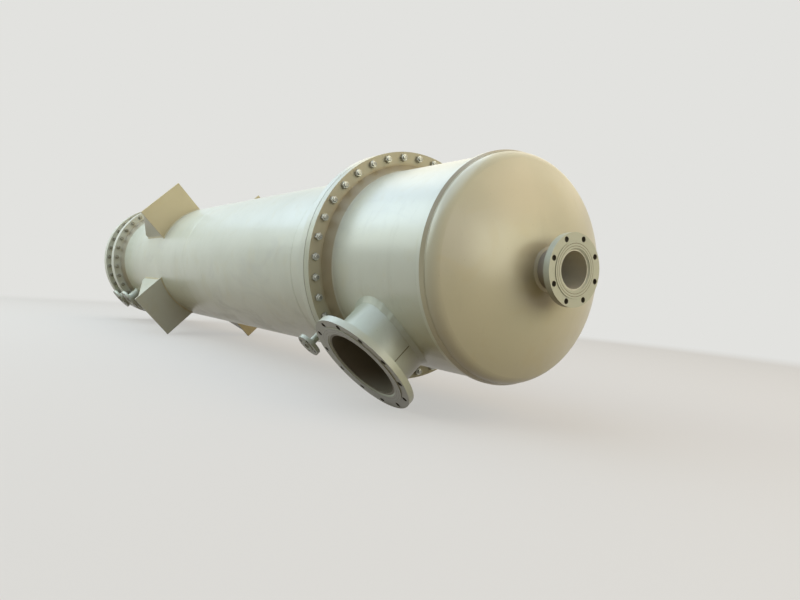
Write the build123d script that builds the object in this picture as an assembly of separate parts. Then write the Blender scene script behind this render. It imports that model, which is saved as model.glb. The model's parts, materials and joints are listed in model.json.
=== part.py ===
from build123d import *
import os
from math import atan2, cos, pi, radians, sin, sqrt

# Falling film absorber, lying level on two of its support brackets and on the rim of its gas nozzle.
# Millimetres. The axis of the vessel runs along X, with the dished separator head at the +X end.
# In service it hangs upright on its four brackets, with the flat cover on top and the head below.
# Angles round the vessel are measured in the YZ plane, from +Y towards +Z.

os.makedirs("parts", exist_ok=True)

# Shells of the separator, the body and the spool
shell_od = 890.0
shell_wall = 8.0

# Body flanges with their conical hubs, the gaskets between them and the flat cover
flange_height = 92.0
flange_thickness = 44.0
hub_height = 30.0
hub_length = 46.0
bolt_height = 63.5
bolt_count = 36
bolt_hole = 22.0
gasket_thickness = 4.0
gasket_height = 45.0
cover_thickness = 44.0

# Lengths along the axis
separator_length = 684.0
body_length = 3914.0
spool_length = 248.0
inlet_reach = 150.0

# Dished head and the band that it is welded into
head_overhang = 3.0
head_skirt_length = 12.0
head_knuckle = 70.0
head_crown_share = 0.8545
head_wall = 8.0
band_height = 8.0
band_width = 18.0
band_face_rise = 17.0
band_land = 1.5

# Tube sheets in the two ends of the body
sheet_thickness = 60.0

# Liquid outlet in the middle of the head
liquid_pipe_od = 152.0
liquid_pipe_wall = 8.0
liquid_flange_od = 265.0
liquid_flange_thickness = 26.0
liquid_bolt_circle = 232.0
liquid_bolt_count = 8
liquid_bolt_hole = 20.0
liquid_face_od = 202.0
liquid_stand = 113.5
liquid_turn = 6.0

# Gas nozzles: the outlet on the side of the separator and the inlet in the middle of the cover
gas_from_band = 371.0
gas_pipe_od = 351.0
gas_pipe_wall = 15.0
gas_flange_od = 490.0
gas_flange_thickness = 28.0
gas_bolt_circle = 445.0
gas_bolt_count = 12
gas_bolt_hole = 23.0
gas_face_od = 415.0

# Cooling water nozzles at the two ends of the body, the inlet across from the outlet
water_pipe_od = 89.0
water_pipe_wall = 6.0
water_flange_od = 200.0
water_flange_thickness = 22.0
water_bolt_circle = 160.0
water_bolt_count = 8
water_bolt_hole = 18.0
water_face_od = 138.0
water_stand = 120.0
water_from_flange = 107.0

# Drain nozzle at the lower end of the body
drain_pipe_od = 34.0
drain_pipe_wall = 4.5
drain_flange_od = 120.0
drain_flange_thickness = 18.0
drain_bolt_circle = 88.0
drain_bolt_count = 4
drain_bolt_hole = 14.0
drain_face_od = 62.0
drain_stand = 134.0
drain_from_flange = 106.0

# Liquid feed nozzle on the spool
feed_pipe_od = 89.0
feed_pipe_wall = 6.0
feed_flange_od = 200.0
feed_flange_thickness = 20.0
feed_bolt_circle = 160.0
feed_bolt_count = 8
feed_bolt_hole = 18.0
feed_face_od = 138.0
feed_stand = 130.0

# Common to the nozzles
face_rise = 3.0
pipe_setback = 6.0
fit_gap = 0.3

# Support brackets
bracket_count = 4
bracket_first_angle = 45.0
bracket_from_joint = 2665.0
bracket_stand = 220.0
bracket_width = 375.0
bracket_plate = 20.0
gusset_length = 500.0
gusset_thickness = 14.0
gusset_offset = 164.0
gusset_tip = 30.0
gusset_margin = 15.0

# Radii and heights that follow
shell_radius = shell_od / 2
shell_bore = shell_od - 2 * shell_wall
flange_od = shell_od + 2 * flange_height
bolt_circle = shell_od + 2 * bolt_height
gasket_od = shell_od + 2 * gasket_height
nozzle_angle = bracket_first_angle + 180.0
water_in_angle = nozzle_angle - 180.0
bracket_reach = shell_radius + bracket_stand
axis_height = (bracket_reach + bracket_width / 2) * sin(radians(bracket_first_angle))
gas_reach = bracket_reach + bracket_width / 2 - gas_flange_od / 2
water_reach = shell_radius + water_stand
drain_reach = shell_radius + drain_stand
feed_reach = shell_radius + feed_stand
gas_bore = gas_pipe_od - 2 * gas_pipe_wall
water_bore = water_pipe_od - 2 * water_pipe_wall
drain_bore = drain_pipe_od - 2 * drain_pipe_wall
feed_bore = feed_pipe_od - 2 * feed_pipe_wall
liquid_bore = liquid_pipe_od - 2 * liquid_pipe_wall

# The head's section: a straight skirt, a knuckle and a spherical crown that meet smoothly
head_skirt_od = shell_od + 2 * head_overhang
band_od = head_skirt_od + 2 * band_height
head_crown = head_crown_share * head_skirt_od
knuckle_centre = head_skirt_od / 2 - head_knuckle
crown_centre = head_skirt_length - sqrt((head_crown - head_knuckle) ** 2 - knuckle_centre ** 2)
crown_turn = atan2(knuckle_centre, head_skirt_length - crown_centre)
liquid_reach = crown_centre + head_crown + liquid_stand

# Stations along X that follow, from the liquid outlet back to the gas inlet
flange_pair = 2 * flange_thickness + gasket_thickness
cover_joint = flange_thickness + gasket_thickness + cover_thickness
lengths = [liquid_reach, separator_length, flange_pair, body_length, flange_pair]
vessel_length = sum(lengths) + spool_length + cover_joint + inlet_reach
x_liquid_face = vessel_length / 2
x_band = x_liquid_face - liquid_reach
x_separator_end = x_band - separator_length
x_body_start = x_separator_end - flange_pair
x_body_end = x_body_start - body_length
x_spool_start = x_body_end - flange_pair
x_spool_end = x_spool_start - spool_length
x_cover = x_spool_end - flange_thickness - gasket_thickness
x_inlet_face = x_cover - cover_thickness - inlet_reach
x_gas = x_band - gas_from_band
x_water_in = x_body_start - water_from_flange
x_water_out = x_body_end + water_from_flange
x_drain = x_body_start - drain_from_flange
x_feed = x_spool_start - spool_length / 2
x_bracket = x_body_start - bracket_from_joint


def forwards(x, part):
    """A piece drawn along +Z points along +X from station x."""
    return Pos(x, 0, axis_height) * Rot(0, 90, 0) * part


def backwards(x, part):
    """A piece drawn along +Z points along -X from station x."""
    return Pos(x, 0, axis_height) * Rot(0, -90, 0) * part


def outwards(x, angle, part):
    """A piece drawn along +Z from the axis points outwards at an angle round the vessel."""
    return Pos(x, 0, axis_height) * Rot(angle - 90, 0, 0) * part


def disc(diameter, length):
    return Cylinder(diameter / 2, length, align=(Align.CENTER, Align.CENTER, Align.MIN))


def tapered(bottom, top, length):
    return Cone(bottom / 2, top / 2, length, align=(Align.CENTER, Align.CENTER, Align.MIN))


def tube(outer, inner, length):
    return disc(outer, length) - disc(inner, length)


def shell_cylinder(gap, length):
    """The outside of the shell with a gap round it, along X and centred on the axis."""
    return Cylinder(shell_radius + gap, length, rotation=(0, 90, 0))


def body_drilled(blank, length):
    """A body flange or a cover with its bolt holes, one of them on each centre line."""
    return blank - [place * disc(bolt_hole, length) for place in PolarLocations(bolt_circle / 2, bolt_count)]


def body_flange():
    """A body flange along +Z from its gasket's face, with a conical hub that ends as thick as the shell."""
    blank = disc(flange_od, flange_thickness)
    blank += Pos(0, 0, flange_thickness) * tapered(shell_od + 2 * hub_height, shell_od, hub_length)
    blank -= disc(shell_bore, flange_thickness + hub_length)
    return body_drilled(blank, flange_thickness)


def nozzle_flange(outer, thickness, pipe_od, circle, count, hole, face):
    """A slip-on flange whose raised face is at height 0 and whose body is below it."""
    blank = Pos(0, 0, -thickness - face_rise) * disc(outer, thickness)
    blank += Pos(0, 0, -face_rise) * disc(face, face_rise)
    blank -= Pos(0, 0, -thickness - face_rise) * disc(pipe_od + 2 * fit_gap, thickness + face_rise)
    tools = [
        place * Pos(0, 0, -thickness - face_rise) * disc(hole, thickness)
        for place in PolarLocations(circle / 2, count, 180.0 / count)
    ]
    return blank - tools


def side_pipe(outer, wall, reach):
    """A pipe along +Z whose foot is cut to the shell's curve, and which stops short of its flange's face."""
    return tube(outer, outer - 2 * wall, reach - pipe_setback) - shell_cylinder(fit_gap, 2 * outer)


def pierced_shell(x, length, openings):
    """A shell from station x towards -X, with a hole of the pipe's bore under each side nozzle."""
    shell = backwards(x, tube(shell_od, shell_bore, length))
    for station, angle, bore in openings:
        shell -= outwards(station, angle, disc(bore, shell_od))
    return shell


def dome(offset):
    """The solid of revolution inside the head: a straight skirt, a knuckle and a spherical crown."""
    crown = head_crown - offset
    knuckle = head_knuckle - offset
    skirt = knuckle_centre + knuckle
    middle = (pi / 2 + crown_turn) / 2
    skirt_end = (skirt, 0, head_skirt_length)
    knuckle_middle = (knuckle_centre + knuckle * sin(middle), 0, head_skirt_length + knuckle * cos(middle))
    end_radius = knuckle_centre + knuckle * sin(crown_turn)
    knuckle_end = (end_radius, 0, head_skirt_length + knuckle * cos(crown_turn))
    crown_middle = (crown * sin(crown_turn / 2), 0, crown_centre + crown * cos(crown_turn / 2))
    apex = (0, 0, crown_centre + crown)
    outline = [
        Line((0, 0, 0), (skirt, 0, 0)),
        Line((skirt, 0, 0), skirt_end),
        ThreePointArc(skirt_end, knuckle_middle, knuckle_end),
        ThreePointArc(knuckle_end, crown_middle, apex),
        Line(apex, (0, 0, 0)),
    ]
    return revolve(make_face(outline), Axis.Z)


def gusset(side):
    """One triangular gusset in the bracket's frame: X along the vessel, Z outwards, behind the base plate."""
    y = side * gusset_offset
    surface = sqrt(shell_radius ** 2 - gusset_offset ** 2)
    outline = Polyline(
        (-bracket_plate, 0),
        (-bracket_plate, bracket_reach - gusset_margin),
        (-bracket_plate - gusset_length, surface + gusset_tip),
        (-bracket_plate - gusset_length, 0),
        close=True,
    )
    plate = extrude(Plane.XZ * make_face(outline), gusset_thickness / 2, both=True)
    return Pos(0, y, 0) * plate - shell_cylinder(fit_gap, 4 * gusset_length)


def export(name, part):
    export_step(part, f"parts/{name}.step")


# Dished head, its band and the separator's shell
head = dome(0) - dome(head_wall) - disc(liquid_pipe_od + 2 * fit_gap, head_crown)
export("separator_head", forwards(x_band, head))
band_rise = tapered(band_od, head_skirt_od + 2 * band_land, band_face_rise)
band_rise -= disc(head_skirt_od + 2 * fit_gap, band_face_rise)
band = tube(band_od, head_skirt_od - 2 * head_wall, band_width) + Pos(0, 0, band_width) * band_rise
export("head_band", forwards(x_band - band_width, band))
separator_shell_length = separator_length - band_width - hub_length
separator_openings = [(x_gas, nozzle_angle, gas_bore)]
export("separator_shell", pierced_shell(x_band - band_width, separator_shell_length, separator_openings))

# Liquid outlet
liquid_pipe_start = crown_centre + sqrt((head_crown - head_wall) ** 2 - (liquid_pipe_od / 2) ** 2)
liquid_pipe = tube(liquid_pipe_od, liquid_bore, liquid_reach - pipe_setback - liquid_pipe_start)
export("liquid_outlet_pipe", forwards(x_band + liquid_pipe_start, liquid_pipe))
liquid_flange = nozzle_flange(
    liquid_flange_od, liquid_flange_thickness, liquid_pipe_od,
    liquid_bolt_circle, liquid_bolt_count, liquid_bolt_hole, liquid_face_od,
)
export("liquid_outlet_flange", forwards(x_liquid_face, Rot(0, 0, liquid_turn) * liquid_flange))

# Gas outlet
gas_flange = nozzle_flange(
    gas_flange_od, gas_flange_thickness, gas_pipe_od,
    gas_bolt_circle, gas_bolt_count, gas_bolt_hole, gas_face_od,
)
gas_pipe = side_pipe(gas_pipe_od, gas_pipe_wall, gas_reach)
export("gas_outlet_pipe", outwards(x_gas, nozzle_angle, gas_pipe))
export("gas_outlet_flange", outwards(x_gas, nozzle_angle, Pos(0, 0, gas_reach) * gas_flange))

# Body, its tube sheets and its cooling water nozzles
body_openings = [
    (x_water_in, water_in_angle, water_bore),
    (x_water_out, nozzle_angle, water_bore),
    (x_drain, nozzle_angle, drain_bore),
]
export("body_shell", pierced_shell(x_body_start - hub_length, body_length - 2 * hub_length, body_openings))
tube_sheet = disc(shell_bore - 2 * fit_gap, sheet_thickness)
export("lower_tube_sheet", backwards(x_body_start + flange_thickness, tube_sheet))
export("upper_tube_sheet", forwards(x_body_end - flange_thickness, tube_sheet))
water_flange = nozzle_flange(
    water_flange_od, water_flange_thickness, water_pipe_od,
    water_bolt_circle, water_bolt_count, water_bolt_hole, water_face_od,
)
water_flange = Pos(0, 0, water_reach) * water_flange
water_pipe = side_pipe(water_pipe_od, water_pipe_wall, water_reach)
export("cooling_water_inlet_pipe", outwards(x_water_in, water_in_angle, water_pipe))
export("cooling_water_inlet_flange", outwards(x_water_in, water_in_angle, water_flange))
export("cooling_water_outlet_pipe", outwards(x_water_out, nozzle_angle, water_pipe))
export("cooling_water_outlet_flange", outwards(x_water_out, nozzle_angle, water_flange))

# Drain nozzle of the body
drain_flange = nozzle_flange(
    drain_flange_od, drain_flange_thickness, drain_pipe_od,
    drain_bolt_circle, drain_bolt_count, drain_bolt_hole, drain_face_od,
)
drain_pipe = side_pipe(drain_pipe_od, drain_pipe_wall, drain_reach)
export("body_drain_pipe", outwards(x_drain, nozzle_angle, drain_pipe))
export("body_drain_flange", outwards(x_drain, nozzle_angle, Pos(0, 0, drain_reach) * drain_flange))

# Spool with its feed nozzle
spool_openings = [(x_feed, nozzle_angle, feed_bore)]
spool = pierced_shell(x_spool_start - hub_length, spool_length - 2 * hub_length, spool_openings)
export("spool_shell", spool)
feed_flange = nozzle_flange(
    feed_flange_od, feed_flange_thickness, feed_pipe_od,
    feed_bolt_circle, feed_bolt_count, feed_bolt_hole, feed_face_od,
)
feed_pipe = side_pipe(feed_pipe_od, feed_pipe_wall, feed_reach)
export("liquid_feed_pipe", outwards(x_feed, nozzle_angle, feed_pipe))
export("liquid_feed_flange", outwards(x_feed, nozzle_angle, Pos(0, 0, feed_reach) * feed_flange))

# The three bolted joints: flanges, gaskets and the flat cover
gasket = tube(gasket_od, shell_bore, gasket_thickness)
joints = [
    (x_separator_end, "separator_flange", "separator_gasket", "body_lower_flange"),
    (x_body_end, "body_upper_flange", "spool_gasket", "spool_lower_flange"),
]
for x_joint, front, middle, back in joints:
    export(front, forwards(x_joint - flange_thickness, body_flange()))
    export(middle, backwards(x_joint - flange_thickness, gasket))
    export(back, backwards(x_joint - flange_thickness - gasket_thickness, body_flange()))
export("spool_upper_flange", forwards(x_spool_end - flange_thickness, body_flange()))
export("cover_gasket", backwards(x_spool_end - flange_thickness, gasket))
cover = body_drilled(disc(flange_od, cover_thickness), cover_thickness)
cover -= disc(gas_pipe_od + 2 * fit_gap, cover_thickness)
export("cover_plate", backwards(x_cover, cover))

# Gas inlet in the cover
inlet_pipe = tube(gas_pipe_od, gas_bore, cover_thickness + inlet_reach - pipe_setback)
export("gas_inlet_pipe", backwards(x_cover, inlet_pipe))
export("gas_inlet_flange", backwards(x_inlet_face, gas_flange))

# Support brackets: a base plate that faces the separator, and two gussets behind it
plate_blank = Box(bracket_plate, bracket_width, bracket_reach, align=(Align.MAX, Align.CENTER, Align.MIN))
base_plate = plate_blank - shell_cylinder(fit_gap, 4 * gusset_length)
for number in range(bracket_count):
    angle = bracket_first_angle + number * 360.0 / bracket_count
    name = f"bracket_{number + 1}"
    export(f"{name}_base_plate", outwards(x_bracket, angle, base_plate))
    export(f"{name}_left_gusset", outwards(x_bracket, angle, gusset(1)))
    export(f"{name}_right_gusset", outwards(x_bracket, angle, gusset(-1)))
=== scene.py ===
"""Falling film absorber: paint, bolts, welds, seams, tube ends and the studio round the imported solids."""

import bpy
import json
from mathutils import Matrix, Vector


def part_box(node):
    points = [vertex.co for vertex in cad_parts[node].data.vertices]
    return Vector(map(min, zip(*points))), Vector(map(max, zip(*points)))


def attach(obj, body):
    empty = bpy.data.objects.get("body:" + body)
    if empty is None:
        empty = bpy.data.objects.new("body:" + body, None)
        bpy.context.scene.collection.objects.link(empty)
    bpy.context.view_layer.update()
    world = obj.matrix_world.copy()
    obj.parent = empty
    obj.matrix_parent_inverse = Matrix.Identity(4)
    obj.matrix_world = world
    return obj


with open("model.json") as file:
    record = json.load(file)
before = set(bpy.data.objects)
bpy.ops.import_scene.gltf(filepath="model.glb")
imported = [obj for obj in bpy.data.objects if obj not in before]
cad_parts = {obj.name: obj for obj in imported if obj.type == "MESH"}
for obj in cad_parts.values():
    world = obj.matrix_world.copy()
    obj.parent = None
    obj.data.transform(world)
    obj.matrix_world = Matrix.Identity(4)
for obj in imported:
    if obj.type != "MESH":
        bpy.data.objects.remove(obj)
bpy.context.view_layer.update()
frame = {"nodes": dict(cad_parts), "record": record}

import json
from collections import namedtuple
from math import ceil, cos, pi, radians, sin, sqrt, tau

import bpy
import numpy as np
from bpy.props import FloatProperty, FloatVectorProperty, IntProperty, PointerProperty
from mathutils import Matrix, Vector

bl_info = {
    "name": "Falling film absorber",
    "version": (1, 0, 0),
    "blender": (4, 5, 0),
    "location": "View3D > Sidebar > Absorber",
    "description": "Paint, bolts, welds and studio for a falling film absorber",
    "category": "Object",
}

# Where the nozzles stand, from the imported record, and their sizes in metres: the pipe's outside radius and
# wall, the radius of the raised face and the thickness of the flange
mounts = {mount["name"]: mount for mount in frame["record"]["mounts"]}
Nozzle = namedtuple("Nozzle", "pipe wall face thickness")
nozzles = {
    "liquid_outlet": Nozzle(0.076, 0.008, 0.101, 0.026),
    "gas_outlet": Nozzle(0.1755, 0.015, 0.2075, 0.028),
    "gas_inlet": Nozzle(0.1755, 0.015, 0.2075, 0.028),
    "cooling_water_inlet": Nozzle(0.0445, 0.006, 0.069, 0.022),
    "cooling_water_outlet": Nozzle(0.0445, 0.006, 0.069, 0.022),
    "body_drain": Nozzle(0.017, 0.0045, 0.031, 0.018),
    "liquid_feed": Nozzle(0.0445, 0.006, 0.069, 0.020),
}
raised_face = 0.003
small_side_nozzles = ["cooling_water_inlet", "cooling_water_outlet", "body_drain", "liquid_feed"]
outlet_hole_turn = radians(28.5)
bracket_angles = [45.0, 135.0, 225.0, 315.0]
axis_height = mounts["liquid_outlet"]["pos_m"][2]
along_x = np.array([1.0, 0.0, 0.0])

# Radii below which the lining shows, and between which the foot of a hub takes the shell's colour
lined_radius = 0.4405
hub_foot = (0.4452, 0.449)


def srgb(red, green, blue):
    """A colour written as 0 to 255, in the linear values that Blender's colour fields hold."""
    parts = np.array([red, green, blue]) / 255.0
    return tuple(np.where(parts <= 0.04045, parts / 12.92, ((parts + 0.055) / 1.055) ** 2.4).tolist())


def length_field(name, description, default):
    return FloatProperty(
        name=name, description=description, default=default, min=0.0, precision=4, unit="LENGTH",
    )


def power_field(name, description, default):
    return FloatProperty(name=name, description=description, default=default, unit="POWER")


def colour_field(name, description, *written):
    return FloatVectorProperty(
        name=name, description=description, default=srgb(*written), min=0.0, max=1.0, subtype="COLOR",
    )


class AbsorberSizes(bpy.types.PropertyGroup):
    shell_radius: length_field("Shell radius", "Outside radius of the separator, body and spool", 0.445)
    bolt_circle_radius: length_field("Bolt circle radius", "Radius of the body flanges' bolt circle", 0.5085)
    bolt_count: IntProperty(name="Bolt count", description="Bolts in each large joint", default=36, min=3)
    bolt_radius: length_field("Bolt radius", "Radius of a joint bolt's shank", 0.010)
    nut_across_flats: length_field("Nut width", "Width across flats of the nuts and bolt heads", 0.030)
    nut_height: length_field("Nut height", "Height of a nut", 0.017)
    head_height: length_field("Bolt head height", "Height of a bolt head", 0.0125)
    thread_out: length_field("Thread end", "How far a bolt's end stands out of its nut", 0.010)
    hub_length: length_field("Hub length", "Length of the conical hub of a body flange", 0.046)
    cover_weld: length_field("Cover weld leg", "Leg of the fillet weld of the gas inlet on the cover", 0.010)
    gas_weld: length_field("Gas nozzle weld leg", "Leg of the smooth weld at the gas outlet's root", 0.017)
    head_weld: length_field("Head nozzle weld leg", "Leg of the weld at the root of the liquid outlet", 0.009)
    nozzle_weld: length_field("Nozzle weld leg", "Leg of the fillet welds round the other nozzles", 0.008)
    bracket_weld: length_field("Bracket weld leg", "Leg of the fillet welds at the brackets", 0.008)
    seam_width: length_field("Seam width", "Width of the butt welds", 0.014)
    seam_height: length_field("Seam height", "Height of the butt welds", 0.0012)
    tube_radius: length_field("Tube radius", "Outside radius of a graphite tube", 0.016)
    tube_wall: length_field("Tube wall", "Wall of a graphite tube", 0.0045)
    tube_pitch: length_field("Tube pitch", "Distance between the middles of neighbouring tubes", 0.043)
    tube_field: length_field("Tube field radius", "Radius of the circle that the tubes fill", 0.405)


class AbsorberColours(bpy.types.PropertyGroup):
    shell: colour_field("Shell paint", "Paint of the shells", 208, 208, 193)
    # The vessel has one cream paint; the head's warmer tan is painted warm light
    head: colour_field("Head paint", "Paint of the dished head and its band", 196, 190, 164)
    # The flange's darker, greener tone is painted shade
    flange: colour_field("Flange paint", "Paint of the separator's flange", 188, 188, 166)
    nozzle: colour_field("Nozzle paint", "Paint of the nozzles", 185, 187, 170)
    # The bracket plates' warmer tan is painted warm light; the gussets keep the paler paint
    bracket: colour_field("Bracket paint", "Paint of the support brackets", 198, 186, 148)
    gusset: colour_field("Gusset paint", "Paint of the brackets' gussets", 204, 202, 184)
    # Dirt, and the painted shade in corners and on surfaces that look down
    dirt_and_shade: colour_field("Dirt", "Dust and dirt that lie in the corners", 112, 103, 78)
    smudge: colour_field("Smudges", "Grey smudges on the shells", 166, 164, 164)
    # Brown dust on the hubs, and the painted shade on the flanges' faces
    dust: colour_field("Dust", "Brown dust on the hubs of the body flanges", 152, 132, 98)
    # Brown dust and painted shade on the top of the head band's slope
    lip_dust: colour_field("Lip dust", "Brown dust on top of the head's band", 128, 110, 74)
    lining: colour_field("Inside", "Inside of the shells and pipes", 112, 104, 88)
    # Darker paint of the liquid outlet's pipe: painted shade
    outlet_pipe_painted_shade: colour_field("Liquid outlet pipe", "The liquid outlet's pipe", 158, 150, 140)
    # Pale inside of the liquid outlet: painted light
    outlet_inside_painted_light: colour_field("Liquid outlet inside", "Inside of the liquid outlet's pipe", 204, 202, 190)
    # Bare steel, darkened with painted shade, in the bolt holes
    hole: colour_field("Bolt hole", "Bare steel in the nozzles' bolt holes", 66, 58, 46)
    zinc: colour_field("Zinc", "Zinc coat of the bolts", 186, 186, 176)
    # Weathered zinc, darker also as painted shade, on the two far joints
    old_zinc_and_shade: colour_field("Weathered zinc", "Zinc of the bolts of the two far joints", 134, 130, 112)
    rubber: colour_field("Gasket rubber", "Rubber of the gaskets", 38, 36, 34)
    graphite: colour_field("Graphite", "Graphite of the tube sheets and tubes", 62, 62, 64)
    floor: colour_field("Background", "Background of the studio, and the floor far away", 226, 226, 223)
    floor_near: colour_field("Floor", "The floor's own colour near the vessel", 212, 204, 199)
    floor_bounce: colour_field("Floor bounce", "Colour of the light that the floor throws up", 138, 120, 90)


class AbsorberStudio(bpy.types.PropertyGroup):
    camera_place: FloatVectorProperty(
        name="Camera place", description="Where the camera stands", default=(4.29159, -1.79289, 0.48373),
        subtype="TRANSLATION", unit="LENGTH",
    )
    camera_turn: FloatVectorProperty(
        name="Camera turn", description="How the camera is turned", default=(1.556699, -0.075501, 0.960090),
        subtype="EULER", unit="ROTATION",
    )
    lens: FloatProperty(
        name="Lens", description="Focal length on a 36 mm wide sensor", default=29.0305, unit="CAMERA",
    )
    sky_power: power_field("Sky panel", "Power of the panel overhead", 530.0)
    left_power: power_field("Left panel", "Power of the panel left of the body", 305.0)
    wall_power: power_field("Wall panel", "Power of the warm panel behind", 225.0)
    head_power: power_field("Head panel", "Power of the panel before the head", 68.0)
    warm_power: power_field("Warm panel", "Power of the panel above the head", 128.0)
    low_power: power_field("Low panel", "Power of the low panel at the head", 165.0)
    room_light: FloatVectorProperty(
        name="Room light", description="The even light from all round", default=(0.122, 0.098, 0.066),
        min=0.0, max=1.0, subtype="COLOR",
    )
    floor_glow: FloatProperty(
        name="Floor glow", description="Share of the floor that shows the background's colour", default=0.62,
        min=0.0, max=1.0, subtype="FACTOR",
    )


def spread(length, step):
    """How many samples a length needs."""
    return max(8, int(ceil(length / step)))


def around(count):
    return np.arange(count) * tau / count


def frame_along(axis):
    """Unit vectors: two across a nozzle's axis, the first along the vessel where it can be, and the axis."""
    axis = np.array(axis, float)
    axis /= np.linalg.norm(axis)
    first = along_x if abs(axis[0]) < 0.9 else np.array([0.0, 1.0, 0.0])
    return first, np.cross(axis, first), axis


def radial(angle):
    """Unit vectors outwards from the vessel's axis at an angle from +Y towards +Z."""
    angle = np.asarray(angle, float)
    return np.stack([np.zeros_like(angle), np.cos(angle), np.sin(angle)], -1)


def on_axis(x):
    """The point of the vessel's axis at station x."""
    return np.array([x, 0.0, axis_height])


def quads_between(rows, columns, close_rows, close_columns):
    """Quads of a grid of rows by columns, either way round closed on itself."""
    row = np.arange(rows if close_rows else rows - 1)[:, None]
    column = np.arange(columns if close_columns else columns - 1)[None, :]
    next_row = (row + 1) % rows
    next_column = (column + 1) % columns
    corners = [
        row * columns + column, row * columns + next_column,
        next_row * columns + next_column, next_row * columns + column,
    ]
    return np.stack(corners, -1).reshape(-1, 4)


def add_piece(name, surface, material, smooth=True):
    """Makes a mesh of a surface's points, faces and, where it has them, face corners, and lets it ride."""
    points, faces, *corners = surface
    mesh = bpy.data.meshes.new(name)
    mesh.from_pydata(np.asarray(points, float).reshape(-1, 3).tolist(), [], faces)
    if corners:
        layer = mesh.uv_layers.new(name="along")
        layer.data.foreach_set("uv", np.asarray(corners[0], np.float32).ravel())
    mesh.polygons.foreach_set("use_smooth", np.full(len(mesh.polygons), smooth))
    mesh.materials.append(material)
    mesh.update()
    piece = bpy.data.objects.new(name, mesh)
    bpy.context.scene.collection.objects.link(piece)
    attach(piece, "root")


def length_along(path):
    """The length along a path at each of its points, and back at the first one."""
    hops = np.linalg.norm(np.roll(path, -1, 0) - path, axis=1)
    return np.concatenate([[0.0], np.cumsum(hops)])


def carried(sections, path, place, closed):
    """The skin of sections that stand along a path, with flat caps where the path is open.

    A face corner holds the length along the path and its place in the section. A section's outline turns
    about its area vector, the sum of the cross products of its neighbouring spokes: where that points back
    along the path, the faces are turned round.
    """
    rows, columns = sections.shape[:2]
    faces = quads_between(rows, columns, closed, True)
    run = length_along(path)
    row = np.repeat(np.arange(rows if closed else rows - 1), columns)
    column = np.tile(np.arange(columns), len(row) // columns)
    near, far = run[row], run[row + 1]
    left, right = place[column], place[(column + 1) % columns]
    corners = np.stack([near, left, near, right, far, right, far, left], -1).reshape(-1, 4, 2)
    spokes = sections[0] - sections[0].mean(0)
    area = np.cross(spokes, np.roll(spokes, -1, 0)).sum(0)
    backwards = np.dot(area, path[1] - path[0]) < 0
    if backwards:
        faces, corners = faces[:, ::-1], corners[:, ::-1]
    faces, corners = faces.tolist(), corners.reshape(-1, 2)
    if not closed:
        start = list(range(columns))
        end = [(rows - 1) * columns + k for k in start]
        faces += [start, end[::-1]] if backwards else [start[::-1], end]
        corners = np.concatenate([corners, np.zeros((2 * columns, 2))])
    return sections.reshape(-1, 3), faces, corners


def bead(path, along_a, along_b, leg, closed, pitch=0.009, lump=None, bulge=1.55):
    """A fillet weld as a section carried along a path.

    At each point of the path the section runs from one leg along direction a to one leg along direction b,
    as the bulge's power of the cosine and the sine (2 is flat, more is hollow), and dips into the metal
    past both legs and at the root. The leg swells as a sine of the length along the path, and by two bell
    curves at a lump, given as a place from 0 to 1 and a share of the leg. The place across runs from 0 to 1
    from leg to leg.
    """
    path = np.asarray(path, float)
    along_a = np.broadcast_to(along_a, path.shape)[:, None, :]
    along_b = np.broadcast_to(along_b, path.shape)[:, None, :]
    run = length_along(path)
    waves = max(1.0, round(run[-1] / pitch))
    share = run[:-1] / run[-1]
    swell = 1.0 + 0.03 * np.sin(tau * waves * share) + 0.02 * np.sin(tau * 7 * share)
    if lump is not None:
        for shift, height in ((0.0, 1.0), (0.045, 0.7)):
            swell = swell + height * lump[1] * np.exp(-(((share - lump[0] - shift) / 0.013) ** 2))
    swell = leg * swell[:, None, None]
    turn = np.linspace(0.0, pi / 2, 5)
    past, dip = 1.04, -0.05
    share_a = np.concatenate([[past], np.cos(turn) ** bulge, [dip, dip]])[None, :, None]
    share_b = np.concatenate([[dip], np.sin(turn) ** bulge, [past, dip]])[None, :, None]
    place = np.array([-0.1, 0.0, 0.25, 0.5, 0.75, 1.0, 1.1, 1.2])
    return carried(path[:, None, :] + swell * (share_a * along_a + share_b * along_b), path, place, closed)


def seam(path, ahead, out, width, height, closed):
    """A butt weld's cap along a path: one low wave of a cosine, whose flat edges lie sunk in the shell."""
    sunk, ripple = 0.0004, 0.011
    path = np.asarray(path, float)
    out = np.broadcast_to(out, path.shape)
    across = np.cross(np.broadcast_to(ahead, path.shape), out)[:, None, :]
    swell = 1.0 + 0.05 * np.sin(tau * length_along(path)[:-1] / ripple)
    share = np.linspace(-0.5, 0.5, 9)
    rise = (0.5 + 0.5 * np.cos(tau * share)) * (height + sunk) - sunk
    share = np.concatenate([share, [0.25, -0.25]])[None, :, None]
    rise = np.concatenate([rise, [-3 * sunk, -3 * sunk]])[None, :, None]
    place = np.concatenate([np.linspace(0.0, 1.0, 9), [1.1, 1.2]])
    sections = path[:, None, :] + width * share * swell[:, None, None] * across + rise * out[:, None, :]
    return carried(sections, path, place, closed)


def join(parts):
    """Several sets of points, faces and face corners as one."""
    points, faces, corners = [], [], []
    first = 0
    for part_points, part_faces, part_corners in parts:
        points.append(part_points)
        faces += [[first + corner for corner in face] for face in part_faces]
        corners.append(part_corners)
        first += len(part_points)
    return np.concatenate(points), faces, np.concatenate(corners)


def ring_bead(x, radius, way, leg, slope=(0.0, 1.0)):
    """A bead round the vessel between a cylinder and a face.

    Way is +1 or -1 along X. The slope gives the second leg's shares along X and outwards.
    """
    out = radial(around(spread(tau * radius, 0.006)))
    return bead(on_axis(x) + radius * out, way * along_x, slope[0] * along_x + slope[1] * out, leg, True)


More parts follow.
